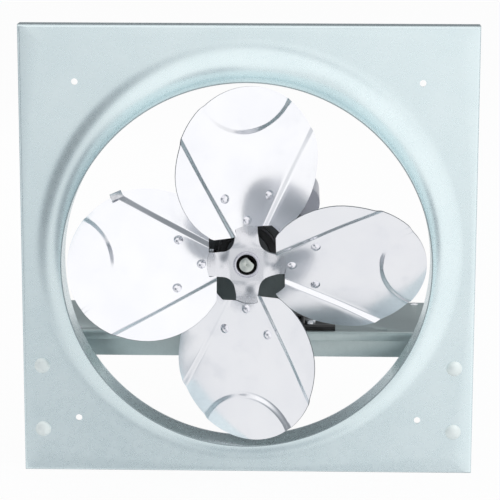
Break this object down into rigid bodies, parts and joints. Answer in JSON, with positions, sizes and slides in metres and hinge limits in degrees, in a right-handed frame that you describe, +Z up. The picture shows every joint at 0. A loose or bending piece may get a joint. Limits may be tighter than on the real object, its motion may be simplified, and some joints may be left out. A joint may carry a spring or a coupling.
{
  "type": "whole house fan",
  "caption": "Square galvanised panel fan: drawn venturi ring, round-bladed propeller on a foot-mounted motor, carried by a shelf on two legs behind the panel.",
  "frame": {"origin": "on the fan axis in the panel's front face, the centre of the four wall-bolt holes", "axes": "+X right seen from the discharge side, +Y along the shaft from the propeller towards the motor, +Z up; air leaves towards -Y"},
  "size_m": [0.61, 0.3379, 0.61],
  "materials": {
    "galvanised_sheet": "dull zinc coat with a faint spangle",
    "leg_sheet": "dull zinc coat",
    "zinc_fasteners": "bright zinc plate",
    "black_rubber": "matte",
    "black_paint": "satin",
    "motor_paint": "satin",
    "cover_paint": "satin",
    "core_steel": "stacked laminations",
    "winding_copper": "varnished",
    "cast_aluminium": "as cast",
    "ground_steel": "ground",
    "hub_steel": "turned",
    "black_screw": "black oxide",
    "brown_board": "pressed board",
    "capacitor_can": "gloss",
    "green_screw": "green chromate",
    "propeller_sheet": "smooth bright sheet"
  },
  "bodies": {
    "frame": {"venturi_panel": "galvanised_sheet", "support_leg_left": "leg_sheet", "support_leg_right": "leg_sheet", "carriage_bolts": "zinc_fasteners", "carriage_nuts": "zinc_fasteners", "motor_platform": "galvanised_sheet", "cross_rail_front": "galvanised_sheet", "cross_rail_rear": "galvanised_sheet", "rail_rivets": "zinc_fasteners", "platform_bolts": "zinc_fasteners", "platform_nuts": "zinc_fasteners", "riser_pad": "black_rubber", "motor_riser": "black_paint", "riser_bolts": "zinc_fasteners", "riser_nuts": "zinc_fasteners", "motor_cradle": "black_paint", "cradle_bolts": "zinc_fasteners", "cradle_nuts": "zinc_fasteners", "cushion_rings": "black_rubber", "cradle_clamps": "black_paint", "clamp_screws": "zinc_fasteners", "motor_shell": "motor_paint", "front_end_shield": "motor_paint", "rear_end_shield": "motor_paint", "through_bolts": "zinc_fasteners", "through_bolt_nuts": "zinc_fasteners", "stator_core": "core_steel", "stator_windings": "winding_copper", "bearing_outer_races": "ground_steel", "wave_washer": "ground_steel", "start_switch": "brown_board", "capacitor": "capacitor_can", "capacitor_cover": "cover_paint", "capacitor_cover_screws": "zinc_fasteners", "terminal_box": "black_paint", "terminal_box_cover": "black_paint", "terminal_box_screws": "zinc_fasteners", "terminal_board": "brown_board", "ground_screw": "green_screw"},
    "propeller": {"shaft": "ground_steel", "rotor_core": "core_steel", "rotor_cage": "cast_aluminium", "bearing_inner_races": "ground_steel", "bearing_balls": "ground_steel", "bearing_cages": "ground_steel", "switch_actuator": "brown_board", "slinger": "black_rubber", "hub": "hub_steel", "set_screws": "black_screw", "spider": "propeller_sheet", "blade_top": "propeller_sheet", "blade_right": "propeller_sheet", "blade_bottom": "propeller_sheet", "blade_left": "propeller_sheet", "blade_rivets": "propeller_sheet", "balance_clip": "propeller_sheet"}
  },
  "joints": [
    {"name": "propeller_spin", "type": "hinge", "parent": "frame", "child": "propeller", "pos_m": [0, 0, 0], "axis": [0, 1, 0], "continuous": true}
  ]
}
